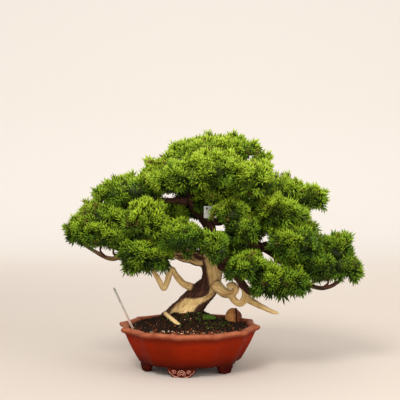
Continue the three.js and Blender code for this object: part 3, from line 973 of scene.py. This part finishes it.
def dressScreens():
    # the netting squares keep their own shape
    stops = [(0.3, (18, 18, 20)), (0.7, (40, 38, 36))]
    netting = mottledMaterial("dark netting", 0.55, 0.4, (240, 4), stops, (0.0002, 0.6), (900, 2))
    for node in ("drain_screen_left", "drain_screen_right"):
        mesh = frame["nodes"][node].data
        mesh.materials.clear()
        mesh.materials.append(netting)


makeStone()
makeLabel()
makeTag()
dressScreens()
print("stone, label and tag ready")


# wood

def smoothLine(points, count):
    # an even line through the points, [x, y, z, radius], by Catmull-Rom
    p = np.array([points[0], *points, points[-1]], float)
    fine = []
    for k in range(1, len(p) - 2):
        for t in np.linspace(0, 1, 16, endpoint=False):
            a, b, c, d = p[k - 1], p[k], p[k + 1], p[k + 2]
            fine.append(0.5 * (2 * b + (c - a) * t + (2 * a - 5 * b + 4 * c - d) * t * t
                               + (3 * b - a - 3 * c + d) * t ** 3))
    fine.append(p[-2])
    fine = np.array(fine)
    gone = np.concatenate([[0], np.cumsum(np.linalg.norm(np.diff(fine[:, :3], axis=0), axis=1))])
    even = np.linspace(0, gone[-1], count)
    return np.stack([np.interp(even, gone, fine[:, k]) for k in range(4)], 1), gone[-1]


def growLimb(bm, points, sides, spacing, shape):
    # a tube of rings along the points; shape gives the reach and the bare-wood share at a place on it
    straight = sum((Vector(a[:3]) - Vector(b[:3])).length for a, b in zip(points, points[1:]))
    line, length = smoothLine(points, max(6, int(straight / spacing)))
    centres = [Vector(row[:3]) for row in line]
    grainLayer = bm.verts.layers.float_vector["grain"]
    bareLayer = bm.verts.layers.float["bare"]
    first = ring = bmesh.ops.create_circle(bm, segments=sides, radius=1)["verts"]
    front = Vector((0, -1, 0))
    last = len(line) - 1
    for index, centre in enumerate(centres):
        radius = line[index][3]
        ahead = aheadAt(centres, index)
        front = (front - ahead * front.dot(ahead)).normalized()
        across = ahead.cross(front)
        if index:
            ring = nextRing(bm, ring)
        gone = length * index / last
        for k, vertex in enumerate(ring):
            angle = 2 * math.pi * k / sides
            way = front * math.cos(angle) + across * math.sin(angle)
            reach, bare = shape(angle, gone, index / last, centre + way * radius)
            vertex.co = centre + way * radius * reach
            vertex[grainLayer] = (math.cos(angle) * radius, math.sin(angle) * radius, gone)
            vertex[bareLayer] = bare
    closeRing(bm, first)
    closeRing(bm, ring)


def newWood():
    bm = bmesh.new()
    bm.verts.layers.float_vector.new("grain")
    bm.verts.layers.float.new("bare")
    return bm


def finishWood(bm, name, replaced):
    bmesh.ops.recalc_face_normals(bm, faces=bm.faces)
    toFrame(bm)
    finishPiece(meshFrom(bm, name), name, barkAndWood, replaced)


def ridged(angle, gone, turns, along, seed):
    # ridges that run along a limb and wander round it
    wander = 0.8 * noise.noise(Vector((gone * 0.02, seed, 0)))
    angle += wander
    return noise.noise(Vector((math.cos(angle) * turns, math.sin(angle) * turns, gone * along + seed)))


def smoothStep(value):
    value = min(max(value, 0.0), 1.0)
    return value * value * (3 - 2 * value)


def woodMaterial():
    # bark and bare wood in one, with the attribute "bare" saying which, and "grain" following the limb
    material, tree, shader = startMaterial("juniper bark and bare wood", 0.8, 0.12)
    grain = attribute(tree, "grain")
    bare = attribute(tree, "bare", "Fac")
    place = objectPlace(tree)
    strips = noisy(tree, stretched(tree, grain, (0.42, 0.42, 0.035)), 1.0, 6, 0.65, 0.6)
    fibres = noisy(tree, stretched(tree, grain, (1.6, 1.6, 0.05)), 1.0, 4, 0.6)
    barkColour = ramp(tree, strips, [
        (0.25, (28, 18, 14)), (0.45, (58, 38, 30)), (0.56, (92, 58, 44)),
        (0.66, (128, 84, 66)), (0.8, (150, 120, 104)),
    ])
    dull = ramp(tree, fibres, [(0.3, 0.55), (0.62, 1.0)])
    barkColour = blended(tree, 1.0, barkColour, dull, "MULTIPLY")
    streaks = noisy(tree, stretched(tree, grain, (0.62, 0.62, 0.008)), 1.0, 7, 0.68, 0.35)
    woodColour = ramp(tree, streaks, [
        (0.28, (84, 54, 28)), (0.37, (166, 126, 72)), (0.47, (216, 180, 116)),
        (0.58, (238, 210, 152)), (0.75, (246, 228, 186)),
    ])
    stains = noisy(tree, place, 38, 4)
    woodColour = blended(tree, spread(tree, stains, 0.5, 0.72, 0, 0.6), woodColour, tone(150, 108, 60))
    paint(tree, shader, blended(tree, bare, barkColour, woodColour))
    tree.links.new(spread(tree, bare, 0, 1, 0.85, 0.62), shader.inputs["Roughness"])
    under = raised(tree, shader, strips, 0.0022, 0.9)
    raised(tree, shader, fibres, 0.0008, 0.7, under)
    return material


barkAndWood = woodMaterial()

trunk = {
    "path": [
        (-22, 40, 84, 34), (-3, 39, 116, 28), (17, 37, 139, 25), (36, 34, 160, 22), (47, 31, 180, 20),
        (49, 29, 203, 21), (42, 27, 226, 20), (38, 26, 248, 16), (43, 26, 270, 13), (44, 25, 290, 12),
        (34, 25, 310, 11), (14, 22, 334, 10), (5, 18, 357, 9), (13, 12, 386, 8), (32, 10, 414, 6.5),
        (50, 10, 436, 5),
    ],
    "sides": 72,
    "spacing": 2.0,
    # the bare strip, in degrees: its middle and how far that turns, half its width and how that changes
    "stripMiddle": -22, "stripTurn": 62, "stripHalf": 46, "stripWaist": 26, "stripWidens": 42,
    # where each of these starts, and over how long, in mm up the trunk
    "turns": (44, 56), "narrows": (36, 40), "widens": (92, 44), "opens": (2, 40), "closes": (185, 60),
    "lipRise": 0.07, "strip": -0.06,  # the bark's edge, and the wood under it
    "toes": 5, "toeRise": 0.2, "toeHeight": 48,
}


def trunkShape(angle, gone, share, place):
    # angle 0 is the front, and grows to the right
    def step(name):
        start, over = trunk[name]
        return smoothStep((gone - start) / over)

    angle = (angle + math.pi) % (2 * math.pi) - math.pi
    middle = math.radians(trunk["stripMiddle"] + trunk["stripTurn"] * step("turns"))
    half = trunk["stripHalf"] - trunk["stripWaist"] * step("narrows")
    half = math.radians(half + trunk["stripWidens"] * step("widens"))
    half *= (step("opens") * 0.45 + 0.55) * (1 - step("closes"))
    edge = half - abs(angle - middle) + 0.2 * noise.noise(Vector((gone * 0.045, angle * 1.3, 3)))
    bare = smoothStep(edge / 0.1)
    toes = max(0.0, 1 - gone / trunk["toeHeight"])
    reach = 1 + trunk["toeRise"] * toes ** 1.5 * math.cos(trunk["toes"] * angle + 0.7) + 0.08 * toes
    reach += 0.1 * ridged(angle, gone, 1.4, 0.02, 1) + 0.05 * ridged(angle, gone, 4.2, 0.03, 2)
    lip = math.exp(-((edge + 0.1) / 0.1) ** 2)
    coarse = 0.1 * ridged(angle, gone, 7.5, 0.055, 5) + 0.05 * noise.noise(place * 0.35)
    reach += (1 - bare) * (0.05 + coarse) + trunk["lipRise"] * lip * (half > 0.2)
    reach += bare * (trunk["strip"] + 0.05 * ridged(angle, gone, 9, 0.012, 9))
    return reach, bare


def barkShape(roughness=0.1, seed=4, worn=0.0):
    # worn is how much of the bark is rubbed through to pale wood
    def shape(angle, gone, share, place):
        reach = 1 + roughness * ridged(angle, gone, 1.6, 0.05, seed)
        reach += roughness * 0.8 * ridged(angle, gone, 5, 0.08, seed + 3)
        if not worn:
            return reach, 0.0
        rubbed = smoothStep((ridged(angle, gone, 2.2, 0.03, seed + 9) + worn - 0.25) / 0.2)
        return reach, rubbed * (1 - share) ** 0.5
    return shape


def bareShape(roughness=0.12, seed=7, barkUntil=0.0):
    def shape(angle, gone, share, place):
        reach = 1 + roughness * ridged(angle, gone, 1.5, 0.03, seed)
        reach += roughness * 0.7 * ridged(angle, gone, 5.5, 0.02, seed + 3)
        return reach, smoothStep((gone - barkUntil) / 6 + 0.3)
    return shape


def makeTrunk():
    bm = newWood()
    growLimb(bm, trunk["path"], trunk["sides"], trunk["spacing"], trunkShape)
    finishWood(bm, "trunk_wood", ["trunk", "leader"])


limbs = {
    "left_branch": {
        "path": [
            (34, 26, 224, 17), (10, 24, 230, 16), (-13, 22, 234, 14), (-35, 18, 242, 11),
            (-60, 12, 254, 9),
            (-86, 8, 258, 7.5), (-114, 0, 245, 6), (-142, -5, 233, 5), (-168, -8, 230, 4.4),
            (-198, -8, 245, 3.6), (-218, -6, 257, 3),
        ],
        "replaces": ["branch_left"], "sides": 36, "spacing": 2.2, "shape": barkShape(0.14, 11, 0.32),
    },
    "right_branch": {
        "path": [
            (46, 26, 274, 10), (76, 22, 276, 9), (116, 15, 268, 8), (154, 5, 252, 7), (192, -8, 226, 6.5),
            (232, -14, 188, 5.5), (268, -12, 169, 4.6), (296, -8, 171, 4), (322, -4, 186, 3.2),
        ],
        "replaces": ["branch_right"], "sides": 24, "spacing": 3, "shape": barkShape(0.14, 21),
    },
    "right_low_branch": {
        "path": [
            (56, 24, 214, 10), (88, 8, 205, 9), (104, -5, 187, 8.5), (118, -18, 169, 7),
            (132, -34, 160, 5.5),
            (150, -52, 166, 4.2), (172, -56, 180, 3.2),
        ],
        "replaces": ["branch_right_low"], "sides": 28, "spacing": 2, "shape": barkShape(0.14, 31),
    },
    "left_jin": {
        "path": [
            (18, 26, 160, 10), (0, 18, 168, 9), (-13, 14, 175, 7), (-23, 12, 186, 6.5), (-30, 10, 197, 6),
            (-36, 8, 206, 6), (-42, 6, 194, 6), (-47, 4, 178, 6), (-53, 2, 166, 6), (-60, 0, 176, 5.5),
            (-68, -3, 192, 5), (-77, -6, 206, 3.2),
        ],
        "replaces": ["jin_left"], "sides": 24, "spacing": 1.4, "shape": bareShape(0.16, 41, 17),
        "bare": True,
    },
    "curled_jin": {
        "path": [
            (56, 18, 172, 13), (68, 8, 161, 11), (80, 2, 155, 9.5), (92, -3, 157, 8), (98, -7, 166, 7.5),
            (91, -12, 174, 7), (80, -15, 171, 6),
        ],
        "replaces": ["jin_curl"], "sides": 28, "spacing": 1.4, "shape": bareShape(0.14, 51), "bare": True,
    },
    "looped_jin": {
        "path": [
            (84, 0, 158, 7), (91, -4, 147, 7), (98, -8, 139, 7), (107, -10, 136, 7.5),
            (115, -10, 142, 8.5),
            (120, -8, 153, 9.5), (118, -4, 166, 9), (109, 2, 176, 7),
        ],
        "replaces": ["jin_loop"], "sides": 28, "spacing": 1.4, "shape": bareShape(0.14, 61), "bare": True,
    },
    "spike_jin": {
        "path": [
            (118, -8, 148, 8), (134, -14, 139, 7), (154, -20, 129, 5.8), (172, -24, 121, 4.6),
            (186, -26, 117, 2.2),
        ],
        "replaces": ["jin_spike"], "sides": 24, "spacing": 1.6, "shape": bareShape(0.18, 71), "bare": True,
    },
    "bare_root": {
        "path": [(-52, 24, 110, 4), (-43, 6, 105, 4.3), (-32, -12, 99, 4.3), (-20, -30, 93.5, 4)],
        "replaces": ["dead_root"], "sides": 24, "spacing": 1.4, "shape": bareShape(0.14, 81), "bare": True,
    },
}


def makeLimbs():
    for name, limb in limbs.items():
        bm = newWood()
        growLimb(bm, limb["path"], limb["sides"], limb["spacing"], limb["shape"])
        finishWood(bm, name, limb["replaces"])


twigs = [
    [(-128, -2, 238, 3.4), (-134, -8, 248, 2.6), (-128, -12, 262, 2.0), (-134, -14, 276, 1.5)],
    [(-150, -6, 232, 3.0), (-158, -12, 242, 2.4), (-156, -16, 258, 1.8), (-164, -18, 272, 1.3)],
    [(-140, -4, 234, 2.8), (-150, 4, 246, 2.2), (-170, 8, 254, 1.7), (-186, 8, 266, 1.3)],
    [(-172, -8, 231, 2.8), (-184, -14, 244, 2.1), (-186, -16, 258, 1.6), (-196, -16, 268, 1.2)],
    [(-188, -8, 239, 2.6), (-200, -2, 246, 2.0), (-214, 2, 258, 1.4), (-222, 2, 268, 1.1)],
    [(282, -10, 169, 3.0), (290, -18, 180, 2.2), (288, -22, 196, 1.6)],
    [(300, -8, 172, 2.6), (308, -2, 182, 2.0), (304, 2, 198, 1.4)],
    [(252, -13, 177, 3.0), (262, -20, 186, 2.2), (258, -24, 200, 1.6)],
]


def makeTwigs():
    # bare forks between the two low outer branches and the pads over them
    bm = newWood()
    for index, path in enumerate(twigs):
        growLimb(bm, path, 10, 2.5, barkShape(0.16, 60 + index))
    finishWood(bm, "outer_twigs", [])


innerBranch = {"cuts": 2, "smooth": 0.6, "rough": 0.0006}  # the last in metres


def makeInnerBranches():
    # the branches inside the canopy, rounded and roughened from their own solids
    covered = {node for limb in limbs.values() for node in limb["replaces"]}
    bark = innerBarkMaterial()
    for node in sorted(frame["nodes"]):
        if not node.startswith("branch_") or node in covered:
            continue
        bm = roundedCopy(node, innerBranch["cuts"], innerBranch["smooth"])
        for v in bm.verts:
            v.co += v.normal * innerBranch["rough"] * noise.noise(v.co * 160)
        bmesh.ops.recalc_face_normals(bm, faces=bm.faces)
        finishPiece(meshFrom(bm, node + "_wood"), node + "_wood", bark, [node])


def innerBarkMaterial():
    stops = [(0.3, (30, 20, 15)), (0.52, (70, 46, 34)), (0.72, (120, 84, 62))]
    return mottledMaterial("twig bark", 0.85, 0.2, (190, 5, 0.65, 0.8), stops, (0.0012, 0.8))


makeTrunk()
makeLimbs()
makeTwigs()
makeInnerBranches()
print("wood ready")


# foliage

foliage = {
    "perSquareMetre": 30000,  # tufts on a pad's skin
    "length": 17.5,  # of a tuft, in mm
    "sunk": 14.0,  # how far a tuft starts under the skin, in mm
    "lumps": 15.0,  # how far the skin swells and dips, in mm
    "sway": 14.0,  # how far its broad outline wanders, in mm
    "core": 0.74, "coreRough": 0.09,  # size of the shaded inside against the pad
    "roundTag": 17,  # clear of shoots round the tag, in mm
    "padGap": 0.0007, "woodGap": 0.001,  # clear of shoots where pads meet and on wood, in metres
    "thinUnder": 0.3,  # share of tufts left out on the underside
    "splay": 0.36,  # how far a tuft turns from the way out
    "sizes": (0.72, 1.22),
    "lowest": 0.24, "deep": 0.16,  # the lowest pads are deeper green and darker, painted shade, up to here, in metres
    "strays": 0.09,  # share of tufts that stand out past the rest
    "brown": 0.03,  # share of tufts that have browned
    "drooping": ["left_hanging", "right_low", "heart_right", "right_tip", "crown_under", "left_inner"],
}


def tuftShape(seed):
    # one tuft: a leading shoot and side shoots that leave its foot all round and turn up
    chance = random.Random(seed)
    bm = bmesh.new()
    layer = bm.loops.layers.uv.new("OFBake")
    addShoot(bm, layer, Vector((0, 0, 0)), Vector((0.05, 0, 1)), 1.0, 0.08, 0.0, 1.0, 0.0)
    for k in range(8):
        up = 0.05 + 0.05 * k + chance.uniform(-0.02, 0.02)
        a = 2.4 * k + chance.uniform(-0.35, 0.35)
        lean = chance.uniform(0.45, 1.0) * (1 - 0.05 * k)
        way = Vector((math.cos(a) * lean, math.sin(a) * lean, 0.85))
        root = Vector((math.cos(a) * 0.03, math.sin(a) * 0.03, up))
        length, radius = chance.uniform(0.5, 0.76), chance.uniform(0.065, 0.09)
        addShoot(bm, layer, root, way, length, radius, 0.5 * up, 0.76 + 0.3 * up, 0.02 * (k % 3))
    return shapeArrays(bm)


def foliageMaterial():
    # the map's second way runs from shaded foot to sunlit tip, painted shade and light, the first from
    # deep to fresh green to brown; the fresh green also carries painted light on tufts that face up and on
    # high pads
    material, tree, shader = startMaterial("juniper foliage", 0.55, 0.15)
    spot = parts(tree, uvMap(tree))
    deep = ramp(tree, spot[1], [
        (0.0, (12, 20, 4)), (0.35, (38, 62, 9)), (0.65, (88, 130, 24)), (1.0, (156, 196, 62)),
    ])
    fresh = ramp(tree, spot[1], [
        (0.0, (20, 28, 4)), (0.35, (82, 102, 11)), (0.65, (166, 194, 36)), (1.0, (236, 246, 122)),
    ])
    brown = ramp(tree, spot[1], [(0.0, (30, 24, 10)), (0.5, (96, 86, 30)), (1.0, (150, 140, 60))])
    greens = blended(tree, spread(tree, spot[0], 0.0, 0.9), deep, fresh)
    paint(tree, shader, blended(tree, spread(tree, spot[0], 0.955, 0.965), greens, brown))
    return material


def trianglesOf(bm):
    bmesh.ops.triangulate(bm, faces=bm.faces)
    bm.verts.ensure_lookup_table()
    corners = np.array([v.co for v in bm.verts])
    return corners, np.array([[v.index for v in f.verts] for f in bm.faces])


def makeFoliage():
    padNodes = [n for n in sorted(frame["nodes"]) if slotOf(n) == "foliage"]
    trees, solids = {}, {}
    for node in sorted(frame["nodes"]):
        bm = roundedCopy(node, 0)
        trees[node] = BVHTree.FromBMesh(bm)
        solids[node] = trianglesOf(bm)
        bm.free()
    shapes = [tuftShape(seed) for seed in range(4)]
    material = foliageMaterial()
    woodTrees = [trees[n] for n in trees if slotOf(n) == "bark"]
    total = 0
    for index, node in enumerate(padNodes):
        others = [trees[n] for n in padNodes if n != node]
        total += makePad(node, index, solids[node], others, woodTrees, trees["name_tag"], shapes, material)
    print("foliage triangles", total)


def slotOf(node):
    return next(s["material_slot"] for s in frame["record"]["subparts"] if s["node"] == node)


def spotsOn(corners, faces, chance):
    # even random places on a pad's skin, with the way out at each
    a, b, c = (corners[faces[:, k]] for k in range(3))
    normals = np.cross(b - a, c - a)
    areas = np.linalg.norm(normals, axis=1) / 2
    count = int(areas.sum() * foliage["perSquareMetre"])
    chosen = chance.choice(len(areas), count, p=areas / areas.sum())
    u, v = chance.uniform(0, 1, (2, count))
    flip = u + v > 1
    u[flip], v[flip] = 1 - u[flip], 1 - v[flip]
    spots = a[chosen] + (b - a)[chosen] * u[:, None] + (c - a)[chosen] * v[:, None]
    return spots, (normals / np.maximum(2 * areas[:, None], 1e-12))[chosen]


def near(point, trees, distance):
    return any(tree.find_nearest(point, distance)[0] is not None for tree in trees)


def makePad(node, index, solid, others, woodTrees, tagTree, shapes, material):
    chance = np.random.default_rng(100 + index)
    spots, outward = spotsOn(*solid, chance)
    keep = np.ones(len(spots), bool)
    for k, spot in enumerate(spots):
        point = Vector(spot)
        if outward[k][2] < -0.35 and chance.random() < foliage["thinUnder"]:
            keep[k] = False
        elif near(point, others, foliage["padGap"]) or near(point, woodTrees, foliage["woodGap"]):
            keep[k] = False
        elif near(point, [tagTree], foliage["roundTag"] * mm):
            keep[k] = False
    spots, outward = spots[keep], outward[keep]
    count = len(spots)
    clump = np.array([noise.noise(Vector(s) * 42) + 0.6 * noise.noise(Vector(s) * 95) for s in spots])
    broad = np.array([noise.noise(Vector(s) * 20 + Vector((7, 7, 7))) for s in spots])
    under = np.clip(-outward[:, 2], 0, 1)[:, None]
    lean = np.where(under > 0.2, -0.25 if node in foliage["drooping"] else 0.1, 0.6)
    ways = outward + lean * np.array([[0, 0, 1]]) + chance.normal(0, foliage["splay"], (count, 3))
    sizes = foliage["length"] * mm * chance.uniform(*foliage["sizes"], count)
    if node in foliage["drooping"]:
        sizes *= 1 + 0.25 * under[:, 0]
    depth = (foliage["sunk"] - foliage["lumps"] * clump - foliage["sway"] * broad) * mm
    stray = chance.uniform(0, 1, count) < foliage["strays"]
    sizes[stray] *= 1.3
    depth[stray] -= 3 * mm
    places = spots - outward * depth[:, None]
    up = outward[:, 2]
    # painted light: tufts that face up and those on swells of the skin are lighter, those in its dips
    # darker, painted shade
    light = np.clip(0.76 + 0.2 * up + 0.85 * clump + 0.13 * chance.normal(size=count), 0.22, 1.0)
    # fresher, brighter green at random, and on tufts that face up as painted light
    fresh = np.clip(0.44 + 0.55 * broad + 0.3 * up + 0.18 * chance.normal(size=count), 0.02, 0.9)
    # painted shade: the lowest pads are deeper green and darker
    height = np.clip((spots[:, 2] - foliage["lowest"]) / foliage["deep"], 0, 1)
    fresh = np.clip(fresh + 0.24 * height - 0.16, 0.02, 0.9)
    light *= 0.86 + 0.14 * height
    fresh[chance.uniform(0, 1, count) < foliage["brown"]] = 1.04
    moves = np.stack([fresh * 0.93, np.full(count, 0.01)], 1)
    scales = np.stack([np.ones(count), light * 0.97], 1)
    turns = turnTo(ways, chance.uniform(0, 6.28, count), sizes)
    made = scattered(shapes, chance.integers(0, len(shapes), count), places, turns, moves, scales)
    core = coreArrays(*solid, chance)
    joined = (
        np.concatenate([made[0], core[0]]),
        np.concatenate([made[1], core[1] + len(made[0])]),
        np.concatenate([made[2], core[2].reshape(-1, 2)]),
    )
    mesh = meshOfArrays(node + " leaves", *joined, False)
    finishPiece(mesh, node + "_leaves", material, [node])
    return len(joined[1])


def coreArrays(corners, faces, chance):
    # the shaded inside of a pad, a shrunken and roughened copy of its solid
    bm = bmesh.new()
    made = [bm.verts.new(c) for c in corners]
    for f in faces:
        bm.faces.new([made[k] for k in f])
    bmesh.ops.subdivide_edges(bm, edges=bm.edges, cuts=1, use_grid_fill=True)
    middle = Vector(corners.mean(0))
    for v in bm.verts:
        v.co = middle + (v.co - middle) * (foliage["core"] + foliage["coreRough"] * noise.noise(v.co * 60))
    layer = bm.loops.layers.uv.new("OFBake")
    for face in bm.faces:
        u, v = chance.uniform(0.05, 0.5), chance.uniform(0.0, 0.12)
        for loop, at in zip(face.loops, ((0, 0), (0.02, 0), (0.01, 0.05))):
            loop[layer].uv = (u + at[0], v + at[1])
    return shapeArrays(bm)


makeFoliage()
print("foliage ready")
